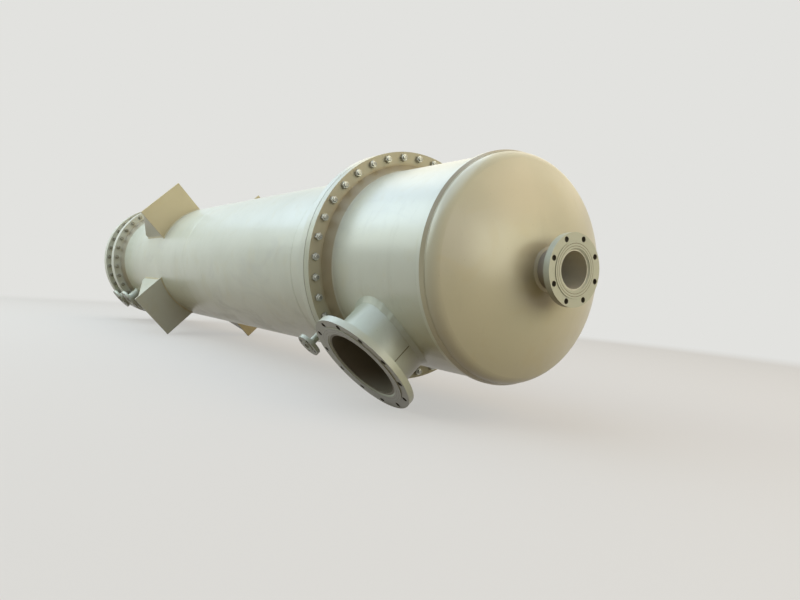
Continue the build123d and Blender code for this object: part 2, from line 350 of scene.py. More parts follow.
def nozzle_rings(name, leg):
    """The two beads of a slip-on flange: behind it on the pipe, and inside its bore over the pipe's end."""
    size, inset = nozzles[name], 0.0035
    first, second, axis = frame_along(mounts[name]["axis"])
    middle = np.array(mounts[name]["pos_m"])
    angle = around(spread(tau * size.pipe, 0.005))[:, None]
    out = np.cos(angle) * first + np.sin(angle) * second
    behind = middle - size.thickness * axis + size.pipe * out
    inside = middle - inset * axis + size.pipe * out
    bore_leg = min(0.0045, 0.7 * size.wall)
    return [bead(behind, out, -axis, leg, True), bead(inside, axis, -out, bore_leg, True)]


def saddle_bead(name, shell_radius, leg, lump=None, bulge=1.55):
    """The bead where a pipe meets the shell.

    The path is where a cylinder across the vessel cuts the shell: at turn t it lies radius cos t along the
    vessel, radius sin t across it, and as high as the shell is there. A lump spreads the swells further
    apart.
    """
    pipe = nozzles[name].pipe
    first, second, axis = frame_along(mounts[name]["axis"])
    middle = on_axis(mounts[name]["pos_m"][0])
    turn = around(spread(tau * pipe, 0.003))[:, None]
    out = np.cos(turn) * first + np.sin(turn) * second
    across = pipe * np.sin(turn)
    height = np.sqrt(shell_radius ** 2 - across ** 2)
    path = middle + pipe * np.cos(turn) * first + across * second + height * axis
    normal = (across * second + height * axis) / shell_radius
    away = out - (out * normal).sum(1, keepdims=True) * normal
    away /= np.linalg.norm(away, axis=1, keepdims=True)
    pitch = 0.009 if lump is None else 0.03
    return bead(path, away, axis, leg, True, pitch, lump, bulge)


def lathe(stations, radii):
    """A closed solid of revolution round X: each row is a ring at a station, with flat caps at both ends."""
    rows, columns = radii.shape
    turn = around(columns)
    stations = np.broadcast_to(np.asarray(stations, float)[:, None], radii.shape)
    points = np.stack([stations, radii * np.cos(turn), radii * np.sin(turn)], -1).reshape(-1, 3)
    faces = quads_between(rows, columns, False, True).tolist()
    faces.append(list(range(columns))[::-1])
    faces.append([(rows - 1) * columns + k for k in range(columns)])
    return points, faces


def hex_block(start, end, across_flats, chamfered_end):
    """A hexagon block along X, cut back by a cone at its start and, where it is chamfered, at its end.

    The distance from the middle to the hexagon's side is half the width over the cosine of the turn from
    that side's middle.
    """
    turn = around(12)
    full = across_flats / 2 / np.cos(np.mod(turn + pi / 6, pi / 3) - pi / 6)
    cut = np.minimum(full, 0.475 * across_flats)
    chamfer = 0.06 * across_flats
    radii = np.stack([cut, full, full, cut if chamfered_end else full])
    return lathe([start, start + chamfer, end - chamfer, end], radii)


def repeated(blocks, turns, angles, radius):
    """Blocks drawn along X, each turned on itself and set on a circle round the vessel, at every angle."""
    points, faces = [], []
    first = 0
    spin_cos, spin_sin = np.cos(turns)[:, None], np.sin(turns)[:, None]
    for block_points, block_faces in blocks:
        x, y, z = block_points.T
        spun_y = y * spin_cos - z * spin_sin + radius * np.cos(angles)[:, None]
        spun_z = y * spin_sin + z * spin_cos + radius * np.sin(angles)[:, None] + axis_height
        points.append(np.stack([np.broadcast_to(x, spun_y.shape), spun_y, spun_z], -1).reshape(-1, 3))
        for _ in angles:
            faces += [[first + corner for corner in face] for face in block_faces]
            first += len(block_points)
    return np.concatenate(points), faces


class Value:
    """An output of a shader node. Sums and products of values add Math nodes to their tree."""

    def __init__(self, tree, socket):
        self.tree = tree
        self.socket = socket

    def math(self, operation, other=0.0):
        return node(self.tree, "ShaderNodeMath", {0: self, 1: other}, operation=operation)

    def __add__(self, other):
        return self.math("ADD", other)

    def __sub__(self, other):
        return self.math("SUBTRACT", other)

    def __rsub__(self, other):
        return node(self.tree, "ShaderNodeMath", {0: other, 1: self}, operation="SUBTRACT")

    def __mul__(self, other):
        return self.math("MULTIPLY", other)

    def __truediv__(self, other):
        return self.math("DIVIDE", other)

    def __abs__(self):
        return self.math("ABSOLUTE")

    def held(self):
        """Held between 0 and 1."""
        self.socket.node.use_clamp = True
        return self


def wire(tree, sockets, values):
    """Links a value to its socket and sets any other input on it. A colour gets an alpha of 1."""
    for key, value in values.items():
        if isinstance(value, Value):
            tree.links.new(value.socket, sockets[key])
        else:
            sockets[key].default_value = (*value, 1.0) if sockets[key].type == "RGBA" else value


def node(tree, kind, inputs=None, output=0, **settings):
    """Adds a shader node and returns one of its outputs."""
    made = tree.nodes.new(kind)
    for key, value in settings.items():
        setattr(made, key, value)
    wire(tree, made.inputs, inputs or {})
    return Value(tree, made.outputs[output])


def outputs_of(tree, made):
    return {socket.name: Value(tree, socket) for socket in made.outputs}


def span(value, low, high, to_low=0.0, to_high=1.0):
    """Maps a value smoothly from one range to another and holds it inside."""
    inputs = {"Value": value, "From Min": low, "From Max": high, "To Min": to_low, "To Max": to_high}
    return node(value.tree, "ShaderNodeMapRange", inputs, clamp=True, interpolation_type="SMOOTHSTEP")


def blend(share, first, second, mode="MIX"):
    tree = next(part.tree for part in (share, first) if isinstance(part, Value))
    inputs = {0: share, 6: first, 7: second}
    return node(tree, "ShaderNodeMix", inputs, 2, data_type="RGBA", blend_type=mode, clamp_factor=True)


def noise(place, scale, detail=2.0, roughness=0.5, distortion=0.0):
    inputs = {
        "Vector": place, "Scale": scale, "Detail": detail, "Roughness": roughness, "Distortion": distortion,
    }
    return node(place.tree, "ShaderNodeTexNoise", inputs, "Fac")


def stretched(place, *scale):
    return node(place.tree, "ShaderNodeMapping", {"Vector": place, "Scale": scale})


def split(vector):
    """The three parts of a vector."""
    parts = node(vector.tree, "ShaderNodeSeparateXYZ", {0: vector}).socket.node.outputs
    return [Value(vector.tree, part) for part in parts]


def length_of(first, second):
    """Length of the vector whose parts are two values."""
    flat = node(first.tree, "ShaderNodeCombineXYZ", {0: first, 1: second})
    return node(first.tree, "ShaderNodeVectorMath", {0: flat}, "Value", operation="LENGTH")


def new_group(name, inputs, outputs):
    """A shader node group with its tree, its given values by name and the sockets of its results."""
    tree = bpy.data.node_groups.new(name, "ShaderNodeTree")
    for way, sockets in (("INPUT", inputs), ("OUTPUT", outputs)):
        for socket, kind in sockets.items():
            tree.interface.new_socket(socket, in_out=way, socket_type="NodeSocket" + kind)
    return tree, outputs_of(tree, tree.nodes.new("NodeGroupInput")), tree.nodes.new("NodeGroupOutput").inputs


def paint_surface():
    """Brushed and sprayed paint: clouds of tone, runs of dust, specks, scuffs, orange peel and dents."""
    tree, given, result = new_group("paint_surface", {
        "Vector": "Vector", "Colour": "Color", "Dirt": "Color", "Smudge": "Color", "Wear": "Float",
        "Dents": "Float", "Scuffs": "Float",
    }, {"Colour": "Color", "Roughness": "Float", "Height": "Float"})
    place, scuffs = given["Vector"], given["Scuffs"]
    height_up = split(place)[2]
    cloud = span(noise(place, 1.7, 4.0, 0.6), 0.36, 0.66)
    patch = span(noise(place, 7.5, 3.0, 0.6, 0.6), 0.5, 0.72)
    run = span(noise(stretched(place, 16.0, 16.0, 1.1), 1.0, 4.0, 0.65), 0.56, 0.8)
    speck = span(noise(place, 95.0, 2.0, 0.6), 0.69, 0.76)
    smudge = span(noise(stretched(place, 1.6, 3.2, 3.2), 1.0, 5.0, 0.62, 1.2), 0.55, 0.72)
    stain = span(noise(stretched(place, 2.5, 7.0, 7.0), 1.0, 4.0, 0.6, 0.6), 0.48, 0.68)
    stain = stain * span(height_up, 0.22, 0.48, 1.0, 0.0)
    # Warmer towards the bottom
    warmer_low_down = span(height_up, 0.3, 0.5, 0.6, 0.0)
    scratch = span(abs(noise(place, 4.6, 2.0, 0.55, 2.4) - 0.5), 0.0, 0.005, 1.0, 0.0)
    scratch = scratch * span(noise(place, 2.3, 1.0), 0.6, 0.72)
    deeper = blend(1.0, given["Colour"], (0.86, 0.86, 0.84), "MULTIPLY")
    warmer = blend(1.0, given["Colour"], (0.97, 0.93, 0.84), "MULTIPLY")
    tone = blend(cloud * 0.5, given["Colour"], deeper)
    tone = blend(patch * 0.45 + warmer_low_down * scuffs, tone, warmer)
    tone = blend(smudge * (scuffs * 0.2), tone, given["Smudge"])
    darkening = run * 0.10 + speck * 0.16 + stain * (scuffs * 0.25) + scratch * (scuffs * 0.2)
    darkening = (darkening * given["Wear"]).held()
    tone = blend(darkening, tone, given["Dirt"])
    rough = (cloud * 0.07 + darkening * 0.35 + patch * 0.05 + 0.3).held()
    peel = noise(place, 240.0, 1.0) * 0.0001
    dent = noise(place, 3.1, 1.0, 0.4) * 0.0042 + noise(stretched(place, 0.7, 6.5, 6.5), 1.0, 2.0) * 0.0022
    wire(tree, result, {"Colour": tone, "Roughness": rough, "Height": peel + dent * given["Dents"]})
    return tree


def turned_rings():
    """A nozzle's face, seen along its axis from the middle of its raised face.

    Grooves lie a pitch apart between two radii, with fine tool marks all over. Bore is the share of the
    pipe's bore. Hole is the share of the bolt holes: the turn round the axis is folded into one pitch of
    the bolt circle, and a point is in a hole when it lies near the middle of that pitch on the circle.
    """
    sizes = ("Inner", "Outer", "Pitch", "Depth", "Bore radius", "Circle radius", "Hole radius", "Hole turn")
    masks = ("Height", "Groove", "Bore", "Hole")
    tree, given, result = new_group(
        "turned_rings", {"Vector": "Vector", **dict.fromkeys(sizes, "Float")}, dict.fromkeys(masks, "Float"),
    )
    inner, outer, pitch, depth, bore_radius, circle_radius, hole_radius, hole_turn = map(given.get, sizes)
    x, y, z = split(given["Vector"])
    radius = length_of(x, y)
    zone = span(radius, inner - 0.0004, inner) * span(radius, outer, outer + 0.0004, 1.0, 0.0)
    zone = zone * span(z, -0.0012, -0.0006)
    wave = abs(((radius - inner) / pitch).math("FRACT") - 0.5)
    groove = span(wave, 0.08, 0.15, 1.0, 0.0) * zone
    marks = noise(node(tree, "ShaderNodeCombineXYZ", {0: radius * 900.0}), 1.0)
    bore = span(radius - bore_radius, 0.0, 0.0008, 1.0, 0.0)
    half = hole_turn * 0.5
    turn = (y.math("ARCTAN2", x) + half).math("FLOORED_MODULO", hole_turn) - half
    off = length_of(radius * turn.math("COSINE") - circle_radius, radius * turn.math("SINE"))
    hole = span(off - hole_radius, 0.0002, 0.0009, 1.0, 0.0)
    height = marks * 0.00003 - groove * depth
    wire(tree, result, {"Height": height, "Groove": groove, "Bore": bore, "Hole": hole})
    return tree


def weld_ripple():
    """The scales of a weld: arcs a few millimetres apart along the bead, uneven with a slow noise."""
    tree, given, result = new_group(
        "weld_ripple", {"Vector": "Vector", "Pitch": "Float"}, {"Height": "Float", "Crease": "Float"},
    )
    along, across, _ = split(given["Vector"])
    along = along + abs(across - 0.5).math("POWER", 2.0) * 0.03 + noise(given["Vector"], 38.0) * 0.004
    phase = (along / given["Pitch"]).math("FRACT")
    crease = span(phase, 0.0, 0.2, 1.0, 0.0)
    wire(tree, result, {"Height": phase.math("POWER", 0.45) * 0.0005, "Crease": crease})
    return tree


def zinc_bloom():
    """Zinc plate: crystals of slightly different tone, with dull white bloom and a few brown specks."""
    tree, given, result = new_group(
        "zinc_bloom", {"Vector": "Vector", "Colour": "Color"},
        {"Colour": "Color", "Roughness": "Float", "Metal": "Float"},
    )
    place = given["Vector"]
    crystal = split(node(tree, "ShaderNodeTexVoronoi", {"Vector": place, "Scale": 190.0}, "Color"))[0]
    bloom = span(noise(place, 60.0, 3.0, 0.6), 0.5, 0.68)
    speck = span(noise(place, 130.0), 0.68, 0.74)
    darker = blend(1.0, given["Colour"], (0.7, 0.7, 0.72), "MULTIPLY")
    tone = blend(crystal * 0.7, given["Colour"], darker)
    tone = blend(bloom * 0.5, tone, (0.62, 0.61, 0.57))
    tone = blend(speck * 0.6, tone, (0.18, 0.09, 0.04))
    dull = bloom.math("MAXIMUM", speck)
    metal = span(dull, 0.0, 1.0, 0.9, 0.35)
    wire(tree, result, {"Colour": tone, "Roughness": dull * 0.25 + 0.34, "Metal": metal})
    return tree


built_groups = {}


def grouped(tree, builder, inputs):
    """Places a node group, which is built the first time that a material asks for it."""
    if builder not in built_groups:
        built_groups[builder] = builder()
    made = tree.nodes.new("ShaderNodeGroup")
    made.node_tree = built_groups[builder]
    wire(tree, made.inputs, inputs)
    return outputs_of(tree, made)


def start_material(name):
    """A material, its tree, the inputs of its Principled BSDF and the texture coordinates by name."""
    material = bpy.data.materials.new(name)
    material.use_nodes = True
    tree = material.node_tree
    coordinates = outputs_of(tree, tree.nodes.new("ShaderNodeTexCoord"))
    return material, tree, tree.nodes["Principled BSDF"].inputs, coordinates


def bumped(height, strength=1.0):
    return node(height.tree, "ShaderNodeBump", {"Height": height, "Strength": strength, "Distance": 1.0})


def distance_from_axis(place):
    """Distance of the shaded point from the vessel's axis."""
    _, y, z = split(place)
    return length_of(y, z - axis_height)


def face_of(name, place):
    """The turned rings of a nozzle's face, from its mount and its sizes."""
    size, mount = nozzles[name], mounts[name]
    dims, axis = mount["dims"], Vector(mount["axis"])
    first, second, _ = frame_along(mount["axis"])
    turn = outlet_hole_turn if name == "liquid_outlet" else pi / dims["count"]
    start = Vector((cos(turn) * first + sin(turn) * second).tolist())
    turned = Matrix((start, axis.cross(start), axis)).transposed().to_euler()
    middle = Vector(mount["pos_m"]) + raised_face * axis
    local = node(
        place.tree, "ShaderNodeMapping", {"Vector": place, "Location": middle, "Rotation": turned},
        vector_type="TEXTURE",
    )
    land = size.face - size.pipe
    margin, grooved, pitch, depth = 0.128 * land, 0.768 * land, 0.384 * land, 0.0008
    inner = size.pipe + margin
    return grouped(place.tree, turned_rings, {
        "Vector": local, "Inner": inner, "Outer": inner + grooved, "Pitch": pitch, "Depth": depth,
        "Bore radius": size.pipe - 0.5 * size.wall, "Circle radius": dims["pcd_mm"] / 2000.0,
        "Hole radius": dims["hole_r_mm"] / 1000.0, "Hole turn": tau / dims["count"],
    })


def paint(
    name, colour, colours, wear=1.0, dents=0.0, scuffs=0.0, grime=0.6, reach=0.05, shine=0.25, under=0.3,
    over=0.0, lined=False, dust=None, rings=None,
):
    """A coat of paint with dirt and painted shade in its corners.

    Corner shade and dirt is how deep that dirt and painted shade is, and reach how far out of a corner it
    comes. Shine is the weight of the clear coat. Underside shade is how far surfaces that look down are
    darkened with painted shade. Over is how much brown dust and painted shade lie on the top of a slope
    that leans forward, and the rest of such a piece has the shell's colour. Lined paint shows the lining's
    colour inside the vessel. Dust and shade is a pair of radii between which a film of dust grows thinner,
    and the share of painted shade on faces that look along the vessel. Rings is a nozzle, whose raised face
    gets turned grooves, whose bore gets the lining, pale as painted light on the liquid outlet, and whose
    bolt holes are bare steel darkened with painted shade.
    """
    material, tree, shader, coordinates = start_material(name)
    place = coordinates["Object"]
    facing_x, _, facing_z = split(coordinates["Normal"])
    film = grouped(tree, paint_surface, {
        "Vector": place, "Colour": colour, "Dirt": colours.dirt_and_shade, "Smudge": colours.smudge, "Wear": wear,
        "Dents": dents, "Scuffs": scuffs,
    })
    tone, rough, height = film["Colour"], film["Roughness"], film["Height"]
    # Dirt and painted shade in corners: darker where ambient occlusion finds surfaces close by
    corner = node(tree, "ShaderNodeAmbientOcclusion", {"Distance": reach}, "AO", samples=8)
    corner = span(corner, 0.15, 0.85, 1.0, 0.0) * span(noise(place, 22.0, 3.0), 0.25, 0.75, 0.45, 1.0)
    tone = blend(corner * grime, tone, colours.dirt_and_shade)
    rough = (rough + corner * 0.2).held()
    # Painted shade on surfaces that look down
    shade_and_dust = span(facing_z, -0.85, -0.1, 1.0, 0.0) * under
    tone = blend(shade_and_dust, tone, colours.dirt_and_shade)
    # Brown dust and painted shade on the top of the band's forward slope
    if over:
        sloping = span(facing_x, 0.1, 0.3)
        top_dust_and_shade = span(facing_z, -0.25, 0.35) * over * sloping
        tone = blend(top_dust_and_shade, blend(sloping, colours.shell, tone), colours.lip_dust)
        shade_and_dust = shade_and_dust.math("MAXIMUM", top_dust_and_shade)
    coat = (1.0 - shade_and_dust) * shine
    # Brown dust on the hubs, and painted shade on faces that look along the vessel
    if dust is not None:
        away = distance_from_axis(place)
        near, far, on_faces = dust
        skin = span(away, near, far, 0.7, 0.0).math("MAXIMUM", span(abs(facing_x), 0.2, 0.7, 0.0, on_faces))
        skin = skin * span(away, *hub_foot, 0.2, 1.0) * span(noise(place, 6.0), 0.3, 0.7, 0.75, 1.0)
        tone = blend(skin, tone, colours.dust)
        rough = (rough + skin * 0.4).held()
        coat = (1.0 - skin) * coat
        tone = blend(span(away, *hub_foot, 0.8, 0.0), tone, colours.shell)
    if lined:
        inside = span(distance_from_axis(place), lined_radius - 0.001, lined_radius, 1.0, 0.0)
        tone = blend(inside, tone, colours.lining)
        rough = (rough + inside * 0.3).held()
    if rings is not None:
        cut = face_of(rings, place)
        height = height + cut["Height"]
        tone = blend(cut["Groove"] * 0.9, tone, colours.dirt_and_shade)
        # The liquid outlet's bore takes a pale colour that is painted light
        tone = blend(cut["Bore"], tone, colours.outlet_inside_painted_light if rings == "liquid_outlet" else colours.lining)
        # Bare steel in the bolt holes, darkened with painted shade
        tone = blend(cut["Hole"] * 0.85, tone, colours.hole)
        rough = (rough + cut["Bore"] * 0.3).held()
    wire(tree, shader, {
        "Base Color": tone, "Roughness": rough, "Normal": bumped(height), "Coat Weight": coat,
        "Coat Roughness": 0.27,
    })
    return material


def weld_paint(name, colour, colours, crease, edges):
    """Paint over a weld: the same coat over its scales, darker in their creases and along its edges."""
    material, tree, shader, coordinates = start_material(name)
    film = grouped(tree, paint_surface, {
        "Vector": coordinates["Object"], "Colour": colour, "Dirt": colours.dirt_and_shade, "Wear": 0.8, "Dents": 0.0,
        "Scuffs": 0.0,
    })
    ripple = grouped(tree, weld_ripple, {"Vector": coordinates["UV"], "Pitch": 0.0048})
    across = split(coordinates["UV"])[1]
    edge = span(across, 0.0, 0.3, 1.0, 0.0).math("MAXIMUM", span(across, 0.7, 1.0))
    darkening = (ripple["Crease"] * crease).math("MAXIMUM", edge * edges)
    relief = film["Height"] + ripple["Height"] * min(1.0, 4.0 * crease)
    wire(tree, shader, {
        "Base Color": blend(darkening, film["Colour"], colours.dirt_and_shade), "Roughness": film["Roughness"],
        "Normal": bumped(relief, 0.8), "Coat Weight": 0.3, "Coat Roughness": 0.2,
    })
    return material


def zinc(name, colour, threaded):
    """Zinc-plated steel, with a thread's turns along X where it is threaded."""
    material, tree, shader, coordinates = start_material(name)
    place, pitch = coordinates["Object"], 0.003
    plate = grouped(tree, zinc_bloom, {"Vector": place, "Colour": colour})
    height = noise(place, 320.0) * 0.00012
    tone = plate["Colour"]
    if threaded:
        wave = abs((split(place)[0] / pitch).math("FRACT") - 0.5)
        height = height + wave * pitch
        tone = blend(span(wave, 0.0, 0.25, 0.6, 0.0), tone, (0.12, 0.11, 0.10))
    wire(tree, shader, {
        "Base Color": tone, "Roughness": plate["Roughness"], "Metallic": plate["Metal"],
        "Normal": bumped(height),
    })
    return material


def gasket_sheet(name, colours):
    """Cut sheet rubber: dark, dull, with fine grain and chalky dust."""
    material, tree, shader, coordinates = start_material(name)
    place = coordinates["Object"]
    chalk = span(noise(place, 14.0, 4.0, 0.65), 0.5, 0.75, 0.0, 0.35)
    wire(tree, shader, {
        "Base Color": blend(chalk, colours.rubber, (0.16, 0.15, 0.13)),
        "Roughness": span(chalk, 0.0, 0.35, 0.6, 0.85), "Normal": bumped(noise(place, 420.0) * 0.00015),
    })
    return material


def graphite_block(name, colours):
    """Resin-filled graphite: dark grey with fine pores, a soft sheen and rubbed lighter patches."""
    material, tree, shader, coordinates = start_material(name)
    place = coordinates["Object"]
    pore = span(noise(place, 520.0, 2.0, 0.6), 0.6, 0.72)
    rub = span(noise(place, 11.0, 4.0, 0.6, 0.8), 0.48, 0.7)
    tone = blend(rub * 0.4, colours.graphite, (0.13, 0.13, 0.135))
    wire(tree, shader, {
        "Base Color": blend(pore * 0.7, tone, (0.012, 0.012, 0.013)),
        "Roughness": span(rub, 0.0, 1.0, 0.52, 0.38), "Normal": bumped(pore * -0.0002),
    })
    return material


class ABSORBER_OT_finish_solids(bpy.types.Operator):
    """Gives every solid of the vessel its finish"""

    bl_idname = "absorber.finish_solids"
    bl_label = "Finish the solids"

    def execute(self, context):
        colours = context.scene.absorber_colours

        def coated(name, colour, **given):
            return paint(name + "_paint", colour, colours, **given)

        worn = {"wear": 1.2, "reach": 0.04}
        turned = {**worn, "grime": 0.4, "lined": True}
        finishes = {
            "shell": coated(
                "shell", colours.shell, dents=1.0, scuffs=1.0, shine=0.42, under=0.15, lined=True,
            ),
            "head": coated("head", colours.head, wear=0.7, dents=0.5, grime=0.3, reach=0.04, shine=0.45),
            "band": coated("band", colours.head, grime=0.2, reach=0.02, over=0.84),
            "flange": coated("flange", colours.flange, **turned, dust=(0.474, 0.506, 0.45)),
            "far_flange": coated("far_flange", colours.shell, **turned, dust=(0.46, 0.49, 0.1)),
            "cover": coated("cover", colours.shell, **worn, dents=0.3, grime=0.5),
            "gusset": coated("gusset", colours.gusset, dents=0.3, grime=0.5, reach=0.035),
            "bracket": coated("bracket", colours.bracket, dents=0.3, grime=0.55, reach=0.035),
            "rubber": gasket_sheet("gasket_sheet", colours),
            "graphite": graphite_block("graphite_block", colours),
        }
        wanted = {
            "separator_shell": "shell", "body_shell": "shell", "spool_shell": "shell",
            "separator_head": "head", "head_band": "band", "cover_plate": "cover",
            "separator_flange": "flange", "body_lower_flange": "far_flange",
            "body_upper_flange": "far_flange", "spool_lower_flange": "far_flange",
            "spool_upper_flange": "far_flange",
            "separator_gasket": "rubber", "spool_gasket": "rubber", "cover_gasket": "rubber",
            "lower_tube_sheet": "graphite", "upper_tube_sheet": "graphite",
        }
        for name, solid in frame["nodes"].items():
            nozzle = name.rsplit("_", 1)[0]
            if name.startswith("bracket_"):
                # Gussets and the third bracket's base plate take the paler paint; the other plates' tan is
                # painted warm light
                key = "gusset" if "gusset" in name or name == "bracket_3_base_plate" else "bracket"
            else:
                key = wanted.get(name, name if name == "liquid_outlet_pipe" else nozzle)
            if key not in finishes:
                # The liquid outlet's pipe takes a darker paint that is painted shade
                tone = colours.nozzle if key == nozzle else colours.outlet_pipe_painted_shade
                finishes[key] = coated(key, tone, grime=0.5, reach=0.03, shine=0.4, under=0.7, rings=nozzle)
            solid.data.materials.clear()
            solid.data.materials.append(finishes[key])
        return {"FINISHED"}


class ABSORBER_OT_joint_bolts(bpy.types.Operator):
    """Bolts and nuts of the three large joints"""

    bl_idname = "absorber.joint_bolts"
    bl_label = "Joint bolts"

    def execute(self, context):
        shape = context.scene.absorber_sizes
        colours = context.scene.absorber_colours
        fresh = (zinc("zinc_plate", colours.zinc, False), zinc("zinc_thread", colours.zinc, True))
        # The far joints' bolts take the weathered zinc, which is also darkened as painted shade
        dull = (zinc("dull_plate", colours.old_zinc_and_shade, False), zinc("dull_thread", colours.old_zinc_and_shade, True))
        joints = {
            "separator_joint": ("separator_flange", "body_lower_flange"),
            "spool_joint": ("body_upper_flange", "spool_lower_flange"),
            "cover_joint": ("spool_upper_flange", "cover_plate"),
        }
        angles = around(shape.bolt_count)
        bolt_radii = np.outer([1.0, 1.0, 1.0, 0.8], np.full(12, shape.bolt_radius))
        tip_chamfer = 0.002
        for number, (joint, (front_node, back_node)) in enumerate(joints.items()):
            plain, threaded = fresh if joint == "separator_joint" else dull
            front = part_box(front_node)[1].x - shape.hub_length
            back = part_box(back_node)[0].x + (0.0 if back_node == "cover_plate" else shape.hub_length)
            turns = np.random.default_rng(31 + number).uniform(0.0, tau, shape.bolt_count)
            nut_end = front + shape.nut_height
            tip = nut_end + shape.thread_out
            nut = hex_block(front, nut_end, shape.nut_across_flats, True)
            bolt_head = hex_block(back - shape.head_height, back, shape.nut_across_flats, False)
            bolt = lathe([back, nut_end, tip - tip_chamfer, tip], bolt_radii)
            for kind, blocks, finish in (("nuts", [nut, bolt_head], plain), ("threads", [bolt], threaded)):
                placed = repeated(blocks, turns, angles, shape.bolt_circle_radius)
                add_piece(f"{joint}_{kind}", placed, finish, smooth=False)
        return {"FINISHED"}


def round_seam(x, shape):
    """A butt weld round the shell at a station of its axis."""
    angle = around(spread(tau * shape.shell_radius, 0.006))
    out = radial(angle)
    path = on_axis(x) + shape.shell_radius * out
    return seam(path, radial(angle + pi / 2), out, shape.seam_width, shape.seam_height, True)


class ABSORBER_OT_flange_welds(bpy.types.Operator):
    """Welds at the hubs, and round the head's band, the cover's pipe and the liquid outlet's pipe"""

    bl_idname = "absorber.flange_welds"
    bl_label = "Flange welds"

    def execute(self, context):
        shape = context.scene.absorber_sizes
        colours = context.scene.absorber_colours
        coat = weld_paint("hub_weld_paint", colours.shell, colours, 0.05, 0.05)
        ends = {
            "separator_flange": 1, "body_lower_flange": 0, "body_upper_flange": 1, "spool_lower_flange": 0,
            "spool_upper_flange": 1,
        }
        for name, end in ends.items():
            add_piece(name + "_weld", round_seam(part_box(name)[end].x, shape), coat)
        coat = weld_paint("cover_weld_paint", colours.flange, colours, 0.25, 0.3)
        cover_weld = ring_bead(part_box("cover_plate")[0].x, nozzles["gas_inlet"].pipe, -1, shape.cover_weld)
        add_piece("cover_pipe_weld", cover_weld, coat)

        # One bead lies behind the band on the shell and one before its slope on the head. The outlet's pipe
        # meets the head where the crown has a slope of its own
        coat = weld_paint("head_weld_paint", colours.head, colours, 0.3, 0.2)
        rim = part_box("separator_head")[0].x
        slope_end, land_radius, band_slope = 0.017, 0.448, (-0.934, 0.357)
        outlet_root, crown_slope = 0.1899, (-0.0993, 0.9951)
        rear_leg, slope_leg = 0.002, 0.0035
        behind = ring_bead(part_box("head_band")[0].x, shape.shell_radius, -1, rear_leg)
        ahead = ring_bead(rim + slope_end, land_radius, 1, slope_leg, band_slope)
        add_piece("head_band_welds", join([behind, ahead]), coat)
        root = ring_bead(rim + outlet_root, nozzles["liquid_outlet"].pipe, 1, shape.head_weld, crown_slope)
        add_piece("liquid_outlet_root_weld", root, coat)
        return {"FINISHED"}


class ABSORBER_OT_nozzle_welds(bpy.types.Operator):
    """Fillet welds of the nozzles: at their flanges and where their pipes meet the shell"""

    bl_idname = "absorber.nozzle_welds"
    bl_label = "Nozzle welds"

    def execute(self, context):
        shape = context.scene.absorber_sizes
        colours = context.scene.absorber_colours
        coat = weld_paint("nozzle_weld_paint", colours.nozzle, colours, 0.3, 0.2)
        for name, size in nozzles.items():
            leg = min(shape.nozzle_weld, 0.3 * size.pipe)
            beads = nozzle_rings(name, leg)
            if name in small_side_nozzles:
                beads.append(saddle_bead(name, shape.shell_radius, leg))
            add_piece(name + "_welds", join(beads), coat)
        ground = weld_paint("ground_weld_paint", colours.nozzle, colours, 0.0, 0.12)
        root = saddle_bead("gas_outlet", shape.shell_radius, shape.gas_weld, lump=(0.115, 0.2), bulge=2.1)
        add_piece("gas_outlet_root_weld", root, ground)
        return {"FINISHED"}


class ABSORBER_OT_shell_seams(bpy.types.Operator):
    """Butt welds of the shell's courses, round it and along it, and along the gas outlet's pipe"""

    bl_idname = "absorber.shell_seams"
    bl_label = "Shell seams"

    def execute(self, context):
        shape = context.scene.absorber_sizes
        colours = context.scene.absorber_colours
        coat = weld_paint("seam_paint", colours.shell, colours, 0.05, 0.05)
        body, separator, spool = (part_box(name) for name in ("body_shell", "separator_shell", "spool_shell"))

        # Two seams go round the body, this far behind its front end. The straight ones stop a step short of
        # them and a gap short of the flanges
        rounds = [body[1].x - behind for behind in (0.239, 1.974)]
        gap, step = 0.008, 0.01
        parts = [round_seam(x, shape) for x in rounds]
        courses = [
            (separator[0].x + gap, separator[1].x - gap, 20.0), (rounds[0] + step, body[1].x - gap, 352.0),
            (rounds[1] + step, rounds[0] - step, 15.0), (body[0].x + gap, rounds[1] - step, 348.0),
            (spool[0].x + gap, spool[1].x - gap, 25.0),
        ]
        for start, end, turn in courses:
            out = radial(radians(turn))
            stations = np.linspace(start, end, spread(end - start, 0.006))
            path = stations[:, None] * along_x + on_axis(0.0) + shape.shell_radius * out
            parts.append(seam(path, along_x, out, shape.seam_width, shape.seam_height, False))
        add_piece("shell_seams", join(parts), coat)

        # The seam of the gas outlet's pipe runs from its root weld to the bead behind its flange
        gas, mount = nozzles["gas_outlet"], mounts["gas_outlet"]
        first, _, axis = frame_along(mount["axis"])
        face = np.array(mount["pos_m"])
        middle = on_axis(face[0])
        root_reach, bead_reach, width, height = 0.019, 0.009, 0.008, 0.0006
        top = np.dot(face - middle, axis) - gas.thickness - bead_reach
        lift = np.linspace(shape.shell_radius + root_reach, top, 40)[:, None]
        pipe_coat = weld_paint("pipe_seam_paint", colours.dirt_and_shade, colours, 0.3, 0.0)
        pipe_seam = seam(middle + lift * axis + gas.pipe * first, axis, first, width, height, False)
        add_piece("gas_outlet_seam", pipe_seam, pipe_coat)
        return {"FINISHED"}


